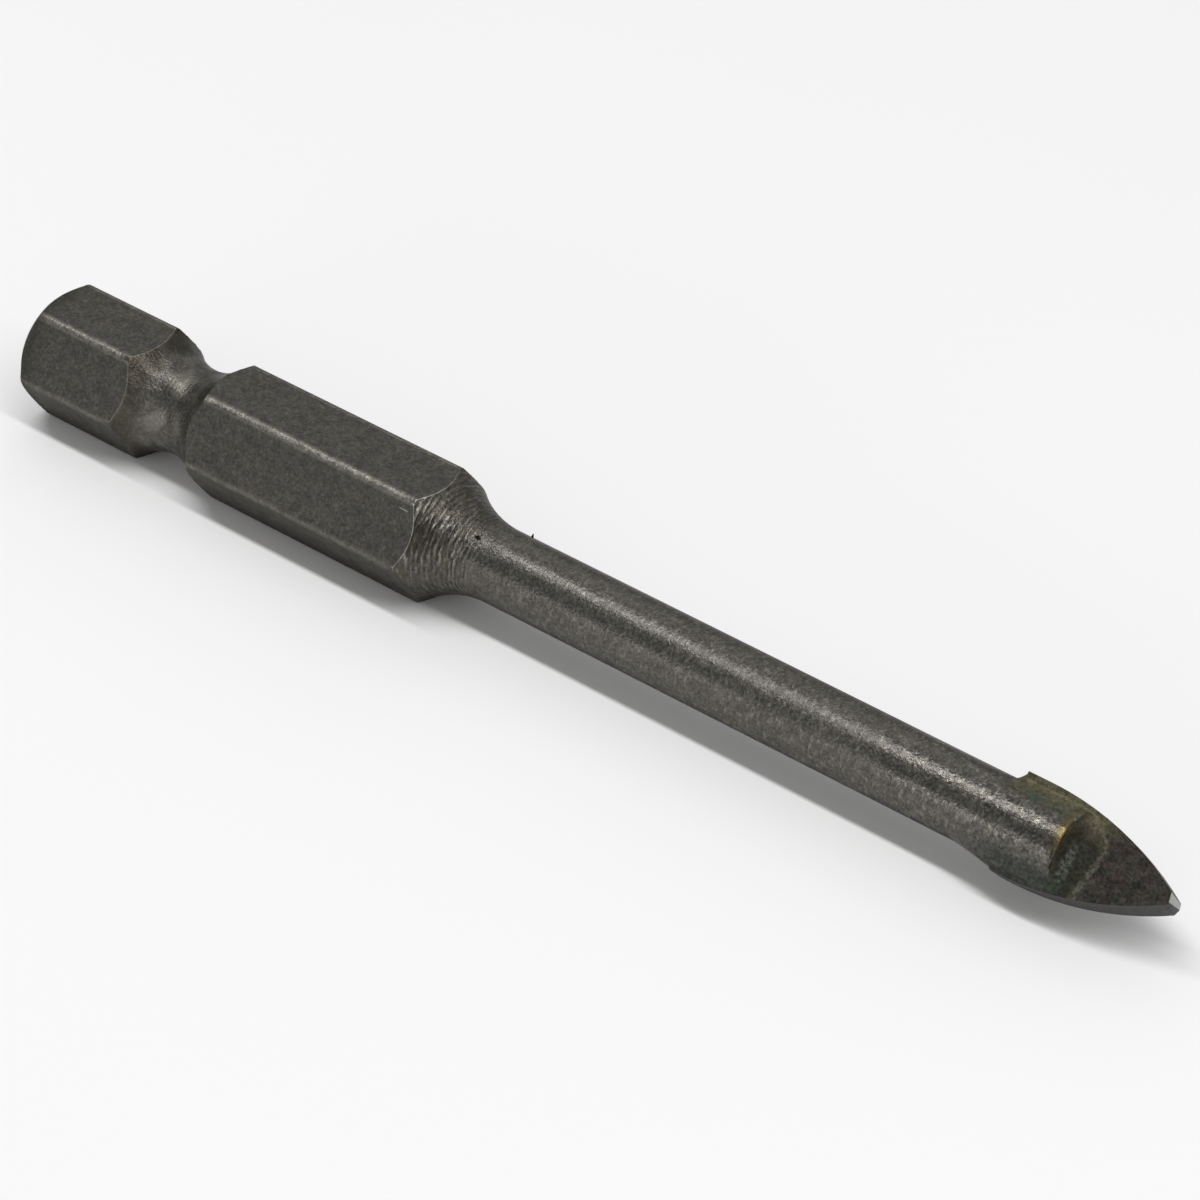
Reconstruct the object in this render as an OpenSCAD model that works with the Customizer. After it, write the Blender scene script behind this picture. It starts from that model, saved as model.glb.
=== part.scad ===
// Glass and tile drill bit: a spear-shaped carbide plate, brazed into the slotted
// end of a round steel shank that is turned from hexagon bar.
// It lies on one flat of the hexagon. The origin is the middle of the back end face,
// +X runs along the drilling axis to the point, and +Z is up.

/* [Overall] */
// Length from the back end face to the chisel edge of the point
overall_len = 69.45; // [50:0.05:120]

/* [Hexagon drive] */
// Width of the bar across its flats
hex_flats = 6.35; // [6.3:0.05:7]
// Diameter over the bar's blunted corners
hex_corners_d = 7.2; // [6.8:0.05:7.3]
// Length of the hexagon along its corners, from the back end face to the neck
hex_len = 26; // [18:0.5:32]
// Diameter of the flat back end face
end_face_d = 5.9; // [4.2:0.1:6.2]
// Slope of the back chamfer, measured from the end face
end_chamfer_angle = 42; // [15:1:60]
// Distance from the back end face to the middle of the ball groove
groove_pos = 9.5; // [6:0.1:14]
// Diameter at the bottom of the ball groove
groove_d = 4.8; // [4:0.1:5.6]
// Radius of the groove's round section
groove_radius = 3.5; // [2:0.1:5]

/* [Round shank] */
// Diameter of the turned shank
shank_d = 3.9; // [3:0.05:4.3]
// Radius of the hollow neck that runs from the hexagon down to the shank
neck_radius = 5.8; // [2.5:0.1:9]

/* [Carbide tip] */
// Width of the plate at its widest, which is the hole that the bit drills
tip_width = 4.85; // [4.5:0.05:6.5]
// Thickness of the plate
tip_thickness = 1.6; // [1:0.05:2.2]
// Length of the plate, from its square rear edge to the chisel edge
tip_len = 9.1; // [8.4:0.05:12]
// Length of the plate's full width, from its rear edge to the start of the curved lips
tip_land = 1.3; // [0.4:0.1:2.4]
// Slope by which each lip's flank falls back behind its cutting edge
lip_relief = 10.5; // [0:0.5:18]
// Width across the two small facets at the point
point_width = 0.8; // [0.2:0.05:1.4]
// Angle between the two facets at the point
point_angle = 140; // [100:1:175]
// Turn of the plate about the axis, from the flat that the bit lies on
tip_turn = 41; // [0:1:180]

/* [Brazed joint] */
// Length of the steel cheeks over the plate
cheek_len = 3.5; // [2.5:0.05:4.5]
// Thickness of the filler between the plate and the slot
braze_gap = 0.1; // [0.04:0.01:0.2]
// Height of the bead in the corners between the plate and the steel
bead_height = 0.35; // [0.15:0.05:0.6]
// Height of the hollow fillet at the foot of each cheek's end
apron_height = 0.85; // [0.3:0.05:1]
// Reach of the filler over the plate in front of each cheek
apron_len = 1.9; // [1.1:0.05:2.4]
// Radius of the rounded front of the apron
apron_radius = 2.3; // [1.9:0.1:4]

/* [Hidden] */
$fn = 96;
// Overlap that makes a cut run clear of the faces it passes through
clear = 1;

hex_corner_r = hex_corners_d / 2;
shank_r = shank_d / 2;
// Place where the hollow neck runs out into the round shank
neck_end = hex_len + sqrt(neck_radius ^ 2 - (neck_radius + shank_r - hex_corner_r) ^ 2);

tip_rear = overall_len - tip_len;
shank_end = tip_rear + cheek_len;
slot_end = tip_rear - braze_gap;
tip_half = tip_thickness / 2;
slot_half = tip_half + braze_gap;
tip_edge = tip_width / 2;
lip_start = tip_rear + tip_land;
// How far the facets at the point fall back at h from the axis
function point_drop(h) = h / tan(point_angle / 2);
// Radius of a lip: its curve leaves the plate's side smoothly and ends at a facet's corner
lip_run = (overall_len - point_drop(point_width / 2) - lip_start) * cos(lip_relief);
lip_fall = tip_edge - point_width / 2;
lip_radius = (lip_run ^ 2 + lip_fall ^ 2) / (2 * lip_fall);
// Half the width that a lip leaves at x, on the face where its flank has fallen back furthest
function relieved_half(x) =
    let (run = (x - lip_start) * cos(lip_relief) + tip_thickness * sin(lip_relief))
    tip_edge - lip_radius + sqrt(lip_radius ^ 2 - max(run, 0) ^ 2);

// Half the width of the round shank at n from the plate's middle
function shank_half(n) = sqrt(shank_r ^ 2 - n ^ 2);
// Edge of the filler that laps onto the plate beside the cheeks, which stays short of its sides
lap_edge = relieved_half(shank_end) - braze_gap;
bead_foot = min(shank_half(slot_half) + bead_height, lap_edge);
bead_top = shank_half(slot_half + bead_height);
// Hollowness of the beads: the radius of a bead's face over the distance between its edges
bead_bow = 1.1;

// Centre of the arc of radius r that joins a to b, to the left of the way there
function arc_centre(a, b, r) =
    let (way = b - a, half = norm(way) / 2)
    (a + b) / 2 + [-way[1], way[0]] / norm(way) * sqrt(r ^ 2 - half ^ 2);

module along_axis() {
    rotate([0, 90, 0]) children();
}

// Space of the plate: X along the axis, Y across its width, Z through its thickness
module in_plate() {
    rotate([tip_turn, 0, 0]) children();
}

// Both halves of what is the same after half a turn about the axis
module both_sides() {
    for (turn = [0, 180])
        rotate([turn, 0, 0]) children();
}

// Hexagon bar, with a flat below
module hexagon_bar() {
    along_axis()
        rotate(30)
            cylinder(d = hex_flats / cos(30), h = shank_end, $fn = 6);
}

// Half profile that the lathe leaves: radius along the first axis, length along the second
module turned_profile() {
    difference() {
        square([hex_corner_r, neck_end]);
        polygon([
            [end_face_d / 2, 0],
            [hex_corner_r + clear, (hex_corner_r + clear - end_face_d / 2) * tan(end_chamfer_angle)],
            [hex_corner_r + clear, -clear],
            [end_face_d / 2, -clear]
        ]);
        translate([groove_d / 2 + groove_radius, groove_pos]) circle(groove_radius);
        translate([shank_r + neck_radius, neck_end]) circle(neck_radius);
    }
    square([shank_r, shank_end]);
}

module shank() {
    color("dimgray") difference() {
        intersection() {
            hexagon_bar();
            along_axis() rotate_extrude() turned_profile();
        }
        in_plate()
            translate([slot_end, -shank_d, -slot_half])
                cube([cheek_len + braze_gap + clear, 2 * shank_d, 2 * slot_half]);
    }
}

// What one ground lip leaves. Its cutting edge is on the plate's upper face, and its flank
// falls back towards the lower one, because the grinding wheel is tilted by the relief
module lip() {
    translate([lip_start, tip_edge - lip_radius, tip_half])
        rotate([0, lip_relief, 0])
            linear_extrude(4 * tip_width, center = true) {
                circle(lip_radius);
                translate([-2 * tip_len, -lip_radius])
                    square([2 * tip_len, 2 * lip_radius]);
            }
}

// Spear-shaped plate: a pointed blank with a lip ground on each side
module plate() {
    intersection() {
        translate([0, 0, -tip_half])
            linear_extrude(tip_thickness)
                polygon([
                    [tip_rear, -tip_edge],
                    [overall_len - point_drop(tip_edge), -tip_edge],
                    [overall_len, 0],
                    [overall_len - point_drop(tip_edge), tip_edge],
                    [tip_rear, tip_edge]
                ]);
        lip();
        rotate([180, 0, 0]) lip();
    }
}

module carbide_tip() {
    color("slategray") in_plate() plate();
}

// Section of a hollow bead from a to b, with its root in the corner that it fills
module bead_section(a, b, root) {
    r = bead_bow * norm(b - a);
    difference() {
        polygon([a, b, root]);
        translate(arc_centre(a, b, r)) circle(r);
    }
}

// Filler that lines the slot and laps onto the plate beside the cheeks
module slot_lining() {
    translate([slot_end, -lap_edge, -slot_half])
        cube([shank_end - slot_end, 2 * lap_edge, 2 * slot_half]);
}

// Beads along both long corners between one cheek and the plate, which run on into the apron
module cheek_beads() {
    sunk = tip_half - braze_gap;
    for (side = [0, 1])
        mirror([0, side, 0])
            translate([tip_rear, 0, 0])
                rotate([90, 0, 90])
                    linear_extrude(cheek_len + braze_gap)
                        bead_section(
                            [bead_top, slot_half + bead_height],
                            [bead_foot, sunk],
                            [bead_top, sunk]);
}

// Bead behind the plate's shoulder, where it stands out of the round shank
module shoulder_bead() {
    translate([0, 0, -slot_half])
        linear_extrude(2 * slot_half)
            bead_section(
                [tip_rear - 2 * bead_height, bead_top],
                [tip_rear, tip_edge - braze_gap],
                [tip_rear, bead_top]);
}

// Apron in front of one cheek: a hollow fillet up its end, and a thin lap with a round front
module apron() {
    intersection() {
        rotate([90, 0, 0])
            linear_extrude(2 * shank_d, center = true) {
                bead_section(
                    [shank_end, slot_half + apron_height],
                    [shank_end + apron_height, slot_half],
                    [shank_end, slot_half]);
                translate([shank_end, tip_half])
                    square([apron_len, braze_gap]);
            }
        along_axis() cylinder(r = shank_r, h = overall_len);
        translate([shank_end + apron_len - apron_radius, 0, 0])
            cylinder(r = apron_radius, h = shank_d);
    }
}

module braze_filler() {
    color("darkgoldenrod") in_plate() difference() {
        union() {
            slot_lining();
            both_sides() apron();
            difference() {
                both_sides() {
                    cheek_beads();
                    shoulder_bead();
                }
                along_axis() cylinder(d = shank_d, h = shank_end);
            }
        }
        plate();
    }
}

shank();
carbide_tip();
braze_filler();
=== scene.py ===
import math
from collections import namedtuple

import bmesh
import bpy
from mathutils import Matrix, Vector, noise


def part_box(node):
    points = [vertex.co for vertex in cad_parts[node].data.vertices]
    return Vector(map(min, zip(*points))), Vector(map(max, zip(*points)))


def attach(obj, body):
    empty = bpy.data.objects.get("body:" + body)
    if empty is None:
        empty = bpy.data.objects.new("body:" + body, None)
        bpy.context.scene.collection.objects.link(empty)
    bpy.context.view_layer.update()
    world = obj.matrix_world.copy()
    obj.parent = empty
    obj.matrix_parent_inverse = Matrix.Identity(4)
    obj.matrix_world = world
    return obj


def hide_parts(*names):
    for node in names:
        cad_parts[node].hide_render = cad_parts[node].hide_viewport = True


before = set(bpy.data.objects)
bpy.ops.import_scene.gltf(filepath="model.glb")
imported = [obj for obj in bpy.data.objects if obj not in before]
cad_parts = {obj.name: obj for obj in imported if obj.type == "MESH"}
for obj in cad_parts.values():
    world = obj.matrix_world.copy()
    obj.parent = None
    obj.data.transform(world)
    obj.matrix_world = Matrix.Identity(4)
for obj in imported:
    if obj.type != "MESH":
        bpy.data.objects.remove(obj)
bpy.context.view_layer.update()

# Shank: one piece of tool steel, turned from hexagon bar and blasted to a dull warm grey.
# The lathe leaves the back chamfer, the ball groove, the hollow neck and the round shank, and a
# slot is milled into the end for the tip. What is left of the bar's flats is the drive.
MM = 0.001
shank_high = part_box("shank")[1] / MM
tip_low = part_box("carbide_tip")[0] / MM
hex_half = shank_high.z
corner_r = shank_high.y
shank_end = shank_high.x
hex_sides = 6
hex_len = 26
end_r = 2.95
end_slope = math.tan(math.radians(42))
end_fillet = 0.16
groove_pos = 9.5
groove_bottom_r = 2.4
groove_radius = 3.5
shank_r = 1.95
neck_radius = 5.8
neck_end = hex_len + math.sqrt(neck_radius ** 2 - (neck_radius + shank_r - corner_r) ** 2)
cheek_fillet = 0.2
tip_turn = math.radians(41)
tip_rear = tip_low.x
tip_half = 0.8
braze_gap = 0.1
slot_half = tip_half + braze_gap
slot_end = tip_rear - braze_gap
cutter_clear = 1
flat_rim = 0.08
flat_rim_drop = 0.026
flat_rim_merge = 0.05
burr_at = 30.78
burr_angle = math.radians(45)
burr_lean = math.radians(14)
burr_sides = 6
burr_r = 0.09
burr_taper = 0.2
burr_len = 0.2
burr_stand = 0.4
pit_at = Vector((29.17, -0.8, 1.85))
pit_reach = 0.14
pit_depth = 0.07

# Fineness of the lathe work, limits for merging, cutting and sharp edges, and the weight of large faces
spin_steps = 144
fillet_steps = 5
groove_rings = 30
neck_rings = 40
shank_rings = 24
face_ring = 0.5
merge_dist = 0.001
cut_dist = 1e-5
steel_crease = math.radians(35)
face_weight = 80


def fillet(before, corner, after, radius):
    """Points of the arc that rounds a corner of a profile."""
    back = (Vector(before) - Vector(corner)).normalized()
    on = (Vector(after) - Vector(corner)).normalized()
    half = back.angle(on) / 2
    reach = radius / math.tan(half)
    start = Vector(corner) + back * reach
    end = Vector(corner) + on * reach
    centre = Vector(corner) + (back + on).normalized() * radius / math.sin(half)
    points = []
    for step in range(fillet_steps + 1):
        chord = start.lerp(end, step / fillet_steps) - centre
        points.append(centre + chord.normalized() * radius)
    return points


def hollow(deepest, bottom_r, radius, first, last, rings):
    """Points of a round hollow in a profile, between two angles from its deepest place."""
    points = []
    for ring in range(rings + 1):
        angle = first + (last - first) * ring / rings
        points.append(Vector((
            deepest + radius * math.sin(angle),
            bottom_r + radius * (1 - math.cos(angle)))))
    return points


def turned_profile():
    """Half profile of the lathe work, length and radius, from the back of the axis to its front."""
    chamfer_end = (corner_r - end_r) * end_slope
    groove_angle = math.acos(1 - (corner_r - groove_bottom_r) / groove_radius)
    neck_angle = math.asin((neck_end - hex_len) / neck_radius)
    points = [Vector((0, 0)), Vector((0, end_r * face_ring))]
    points += fillet((0, 0), (0, end_r), (chamfer_end, corner_r), end_fillet)
    points += fillet((0, end_r), (chamfer_end, corner_r), (groove_pos, corner_r), end_fillet)
    points += hollow(groove_pos, groove_bottom_r, groove_radius, -groove_angle, groove_angle, groove_rings)
    points += hollow(neck_end, shank_r, neck_radius, -neck_angle, 0, neck_rings)
    for ring in range(1, shank_rings):
        points.append(Vector((neck_end + (shank_end - neck_end) * ring / shank_rings, shank_r)))
    points += fillet((neck_end, shank_r), (shank_end, shank_r), (shank_end, 0), cheek_fillet)
    points += [Vector((shank_end, shank_r * face_ring)), Vector((shank_end, 0))]
    return points


def add_object(name, bm):
    """The bmesh as an object of the scene."""
    mesh = bpy.data.meshes.new(name)
    bm.to_mesh(mesh)
    bm.free()
    made = bpy.data.objects.new(name, mesh)
    bpy.context.collection.objects.link(made)
    return made


def add_piece(name, bm, material):
    """A finished bmesh, in millimetres, as a piece of the scene, in metres."""
    bmesh.ops.scale(bm, vec=(MM, MM, MM), verts=bm.verts)
    piece = add_object(name, bm)
    piece.data.materials.append(material)
    return piece


def turned_blank():
    """The lathe work before the slot and the flats."""
    bm = bmesh.new()
    verts = [bm.verts.new((point.x, 0, point.y)) for point in turned_profile()]
    edges = [bm.edges.new(pair) for pair in zip(verts, verts[1:])]
    bmesh.ops.spin(
        bm, geom=verts + edges, cent=(0, 0, 0), axis=(1, 0, 0), dvec=(0, 0, 0), angle=2 * math.pi,
        steps=spin_steps, use_merge=True)
    bmesh.ops.remove_doubles(bm, verts=bm.verts, dist=merge_dist)
    bmesh.ops.recalc_face_normals(bm, faces=bm.faces)
    return bm


def slot_cut():
    """What the milling cutter takes away, turned to where the tip sits."""
    bm = bmesh.new()
    length = shank_end - slot_end + cutter_clear
    bmesh.ops.create_cube(bm, size=1)
    bmesh.ops.scale(bm, vec=(length, 4 * shank_r, 2 * slot_half), verts=bm.verts)
    bmesh.ops.translate(bm, vec=(slot_end + length / 2, 0, 0), verts=bm.verts)
    bmesh.ops.rotate(bm, cent=(0, 0, 0), matrix=Matrix.Rotation(tip_turn, 3, "X"), verts=bm.verts)
    return bm


def settled(bm):
    """The same mesh in order of place, because some operators leave another order on each run."""
    fresh = bmesh.new()
    verts = []
    for index, vert in enumerate(sorted(bm.verts, key=lambda vert: vert.co[:])):
        vert.index = index
        verts.append(fresh.verts.new(vert.co))
    rings = []
    for face in bm.faces:
        ring = [vert.index for vert in face.verts]
        first = ring.index(min(ring))
        rings.append(ring[first:] + ring[:first])
    for ring in sorted(rings):
        fresh.faces.new([verts[index] for index in ring])
    bm.free()
    fresh.normal_update()
    return fresh


def slotted_blank():
    """The blank with the slot for the tip milled into its end."""
    blank = add_object("blank", turned_blank())
    cutter = add_object("cutter", slot_cut())
    slot = blank.modifiers.new("slot", "BOOLEAN")
    slot.operation = "DIFFERENCE"
    slot.solver = "EXACT"
    slot.object = cutter
    bm = bmesh.new()
    bm.from_object(blank, bpy.context.evaluated_depsgraph_get())
    for spent in (blank, cutter):
        bpy.data.meshes.remove(spent.data)
    return settled(bm)


def outward_at(place):
    """The way out from the axis."""
    return Vector((0, place.y, place.z)).normalized()


def cut_flat(bm, side):
    """One flat of the bar, with a rim round it."""
    ridge = bm.verts.layers.float["ridge"]
    turned = bm.faces.layers.float["turned"]
    angle = math.radians(90 + 360 / hex_sides * side)
    outward = Vector((0, math.cos(angle), math.sin(angle)))
    cut = bmesh.ops.bisect_plane(
        bm, geom=bm.verts[:] + bm.edges[:] + bm.faces[:], dist=cut_dist, clear_outer=True,
        plane_co=outward * hex_half, plane_no=outward)
    cut_verts = [vert for vert in cut["geom_cut"] if isinstance(vert, bmesh.types.BMVert)]
    bmesh.ops.remove_doubles(bm, verts=cut_verts, dist=flat_rim_merge)
    rim = [edge for edge in bm.edges if edge.is_boundary]
    for edge in rim:
        for vert in edge.verts:
            vert[ridge] = 1
    flats = bmesh.ops.edgeloop_fill(bm, edges=rim)["faces"]
    inset = bmesh.ops.inset_individual(bm, faces=flats, thickness=flat_rim, use_even_offset=True)
    for face in inset["faces"]:
        face[turned] = 0
        for vert in face.verts:
            vert[ridge] = 1
    for flat in flats:
        flat[turned] = 0
        for vert in flat.verts:
            vert[ridge] = 0


def dent(bm):
    """A small dark pit in the turned surface."""
    pit = bm.verts.layers.float["pit"]
    for vert in bm.verts:
        away = (vert.co - pit_at).length / pit_reach
        if away < 1:
            vert.co -= outward_at(vert.co) * pit_depth * (1 - away)
            vert[pit] = 1


def add_burr(bm):
    """A curl of swarf that stands on the shank, just in front of the neck."""
    pit = bm.verts.layers.float["pit"]
    outward = Vector((0, math.cos(burr_angle), math.sin(burr_angle)))
    lean = Matrix.Rotation(burr_lean, 3, "X") @ outward.to_track_quat("Z", "X").to_matrix()
    middle = Vector((burr_at, 0, 0)) + outward * (shank_r + burr_len * burr_stand)
    cone = bmesh.ops.create_cone(
        bm, cap_ends=True, segments=burr_sides, radius1=burr_r, radius2=burr_r * burr_taper,
        depth=burr_len, matrix=Matrix.Translation(middle) @ lean.to_4x4())
    for vert in cone["verts"]:
        vert[pit] = 1


def shank_bmesh():
    """The blank with its flats. Ridge marks the rims, some of which get painted highlights, turned the
    lathe's faces, and pit the pit and the burr, which are painted near black.
    """
    bm = slotted_blank()
    bm.verts.layers.float.new("ridge")
    bm.verts.layers.float.new("pit")
    turned = bm.faces.layers.float.new("turned")
    for face in bm.faces:
        face[turned] = 1
    for side in range(hex_sides):
        cut_flat(bm, side)
    ridge = bm.verts.layers.float["ridge"]
    for vert in bm.verts:
        if vert[ridge] == 1:
            vert.co -= outward_at(vert.co) * flat_rim_drop
    dent(bm)
    add_burr(bm)
    bmesh.ops.recalc_face_normals(bm, faces=bm.faces)
    for face in bm.faces:
        face.smooth = True
    for edge in bm.edges:
        edge.smooth = edge.calc_face_angle(0) < steel_crease
    return bm


FramePlace = namedtuple("FramePlace", "vector x y z")
PlatePlace = namedtuple("PlatePlace", "vector x side through")


class Nodes:
    """Short ways to add the nodes of one tree and to join them."""

    def __init__(self, tree):
        self.nodes = tree.nodes
        self.links = tree.links

    def join(self, value, socket):
        if isinstance(value, bpy.types.NodeSocket):
            self.links.new(value, socket)
        else:
            socket.default_value = value

    def math(self, operation, *values):
        node = self.nodes.new("ShaderNodeMath")
        node.operation = operation
        for value, socket in zip(values, node.inputs):
            self.join(value, socket)
        return node.outputs[0]

    def both(self, *masks):
        """The product of all masks."""
        product = masks[0]
        for mask in masks[1:]:
            product = self.math("MULTIPLY", product, mask)
        return product

    def share(self, first, part, second):
        """Part of the first value, and the rest from the second."""
        return self.math("ADD", self.math("MULTIPLY", first, part), self.math("MULTIPLY", second, 1 - part))

    def away(self, value, place):
        """How far the value is from a place, either way."""
        return self.math("ABSOLUTE", self.math("SUBTRACT", value, place))

    def span(self, value, low, high, out_low=0.0, out_high=1.0):
        """The value mapped from low..high to out_low..out_high, smoothly and no further."""
        node = self.nodes.new("ShaderNodeMapRange")
        node.interpolation_type = "SMOOTHSTEP"
        for name, given in (("Value", value), ("From Min", low), ("From Max", high),
                            ("To Min", out_low), ("To Max", out_high)):
            self.join(given, node.inputs[name])
        return node.outputs["Result"]

    def blend(self, factor, first, second, kind="MIX"):
        node = self.nodes.new("ShaderNodeMix")
        node.data_type = "RGBA"
        node.blend_type = kind
        self.join(factor, node.inputs["Factor"])
        self.join(first, node.inputs["A"])
        self.join(second, node.inputs["B"])
        return node.outputs["Result"]

    def coords(self, turn):
        """Object coordinates in millimetres, turned about the drilling axis: a vector and its values."""
        coords = self.nodes.new("ShaderNodeTexCoord")
        mapping = self.nodes.new("ShaderNodeMapping")
        mapping.inputs["Scale"].default_value = (1 / MM, 1 / MM, 1 / MM)
        mapping.inputs["Rotation"].default_value = (turn, 0, 0)
        self.links.new(coords.outputs["Object"], mapping.inputs["Vector"])
        split = self.nodes.new("ShaderNodeSeparateXYZ")
        self.links.new(mapping.outputs["Vector"], split.inputs[0])
        return mapping.outputs["Vector"], *split.outputs

    def in_frame(self):
        return FramePlace(*self.coords(0.0))

    def in_plate(self):
        """Places along the tip, to its sides and through it."""
        return PlatePlace(*self.coords(-tip_turn))

    def across(self, place):
        """Place across the tip, whose faces are alike after half a turn: the sign changes with the face."""
        return self.math("MULTIPLY", place.side, self.math("SIGN", place.through))

    def vector(self, *values):
        node = self.nodes.new("ShaderNodeCombineXYZ")
        for value, socket in zip(values, node.inputs):
            self.join(value, socket)
        return node.outputs[0]

    def noise(self, where, scale, detail=2.0, rough=0.5):
        node = self.nodes.new("ShaderNodeTexNoise")
        self.join(where, node.inputs["Vector"])
        self.join(scale, node.inputs["Scale"])
        node.inputs["Detail"].default_value = detail
        node.inputs["Roughness"].default_value = rough
        return node.outputs["Fac"]

    def effect(self, group, *values):
        """The outputs of a shared effect, which is given its inputs in their order."""
        node = self.nodes.new("ShaderNodeGroup")
        node.node_tree = group
        for value, socket in zip(values, node.inputs):
            self.join(value, socket)
        return list(node.outputs)


class Effect(Nodes):
    """The tree of a shader node group that materials share, with the names and kinds of its sockets."""

    def __init__(self, name, inputs, outputs):
        self.group = bpy.data.node_groups.new(name, "ShaderNodeTree")
        super().__init__(self.group)
        for direction, sockets in (("INPUT", inputs), ("OUTPUT", outputs)):
            for socket, kind in sockets.items():
                self.group.interface.new_socket(socket, in_out=direction, socket_type="NodeSocket" + kind)
        self.given = self.nodes.new("NodeGroupInput").outputs
        self.put = self.nodes.new("NodeGroupOutput").inputs


blotch_size = 0.5
speck_size = 0.13
blotch_noise = {"detail": 3, "rough": 0.6}
speck_noise = {"detail": 2, "rough": 0.55}
grain_sockets = {"Blotch": "Float", "Speck": "Float"}
colour_socket = {"Colour": "Color"}


def grain_group():
    """Grain of a blasted or sintered surface: blotches and specks of the sizes given in millimetres."""
    sizes = {"Blotch size": "Float", "Speck size": "Float"}
    grain = Effect("grain", inputs=sizes, outputs=grain_sockets)
    where = grain.in_frame().vector
    for name, kind in (("Blotch", blotch_noise), ("Speck", speck_noise)):
        scale = grain.math("DIVIDE", 1.0, grain.given[name + " size"])
        grain.join(grain.noise(where, scale, **kind), grain.put[name])
    return grain.group


steel_dark = (0.07, 0.066, 0.0587, 1)
steel_pale = (0.143, 0.1345, 0.1215, 1)
steel_blotch_share = 0.4
steel_tones = (0.32, 0.7)


def steel_group():
    """Warm grey steel with a fine mottle, from the grain."""
    steel = Effect("steel", inputs=grain_sockets, outputs=colour_socket)
    tone = steel.share(steel.given["Blotch"], steel_blotch_share, steel.given["Speck"])
    steel.join(steel.blend(steel.span(tone, *steel_tones), steel_dark, steel_pale), steel.put["Colour"])
    return steel.group


# Flux stains, with painted shade at the foot of each cheek and a painted highlight in the hollow in front
# of it. Each range says where a stain fades in or out, in millimetres ahead of the cheeks' ends or across
# the tip, or which part of a noise it takes. Two more values are the strengths at those ends.
hue_noise = {"scale": 1.4, "detail": 3, "rough": 0.6}
patch_noise = {"scale": 1.9, "detail": 2}
patch_shift = 20.0
mottle_noise = {"scale": 5.5, "detail": 2, "rough": 0.6}
mottle_shade = (0.3, 0.7, 0.68, 1.32)
shade_behind = (-3.0, -4.5)
olive_pale = (0.125, 0.124, 0.073, 1)
olive_deep = (0.08, 0.075, 0.045, 1)
olive_brown = (0.088, 0.071, 0.047, 1)
olive_behind = (-4.6, -3.2)
olive_ahead = (2.6, 0.9)
olive_across = (0.9, 1.75)
olive_hues = (0.35, 0.65)
olive_browns = (0.45, 0.75, 0.0, 0.6)
olive_cover = (0.3, 0.5, 0.7, 1.0)
streak_teal = (0.06, 0.086, 0.064, 1)
streak_at = 1.42
streak_half = (0.28, 0.0)
streak_behind = (-3.6, -2.6)
streak_ahead = (-0.4, -1.4)
streak_patches = (0.35, 0.6)
streak_cover = 0.85
lower_teal = (0.047, 0.054, 0.046, 1)
lower_behind = (-4.8, -2.4)
lower_ahead = (1.6, 0.4)
lower_across = (-1.1, -1.7)
lower_cover = (0.35, 0.6, 0.5, 0.95)
flux_front = 65.48
flux_corner = 0.6
flux_slant = 0.174
flux_bend = 0.7
flux_waver = 0.3
flux_edge = (0.17, -0.17)
flux_behind = (-0.03, 0.03)
flux_across = (2.3, 1.3)
front_dark = (0.03, 0.031, 0.022, 1)
front_brown = (0.118, 0.1, 0.065, 1)
front_across = (0.35, 2.1)
patch_brown = (0.072, 0.062, 0.04, 1)
patch_cover = (0.5, 0.64, 0.0, 0.5)
# Dark flux with painted shade at the foot of the hollow before each cheek
foot_flux_and_shade = (0.046, 0.043, 0.028, 1)
foot_ahead = (0.5, 0.1)
# Painted highlight, pale green, in the hollow in front of each cheek
mint_highlight = (0.19, 0.216, 0.176, 1)
mint_from = (0.18, 0.42)
mint_to = (0.68, 0.44)
mint_above = (0.8, -0.3)
mint_below = (-1.8, -1.2)
mint_mottle = (0.1, 0.85)
foot_teal = (0.042, 0.056, 0.042, 1)
foot_teal_ahead = (1.0, 0.4)
foot_teal_cover = 0.7
line_pale = (0.118, 0.112, 0.085, 1)
line_half = 0.22
line_taper = -0.05
line_across = (1.7, 1.0)
line_cover = (0.3, 0.6, 0.45, 0.85)


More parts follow.
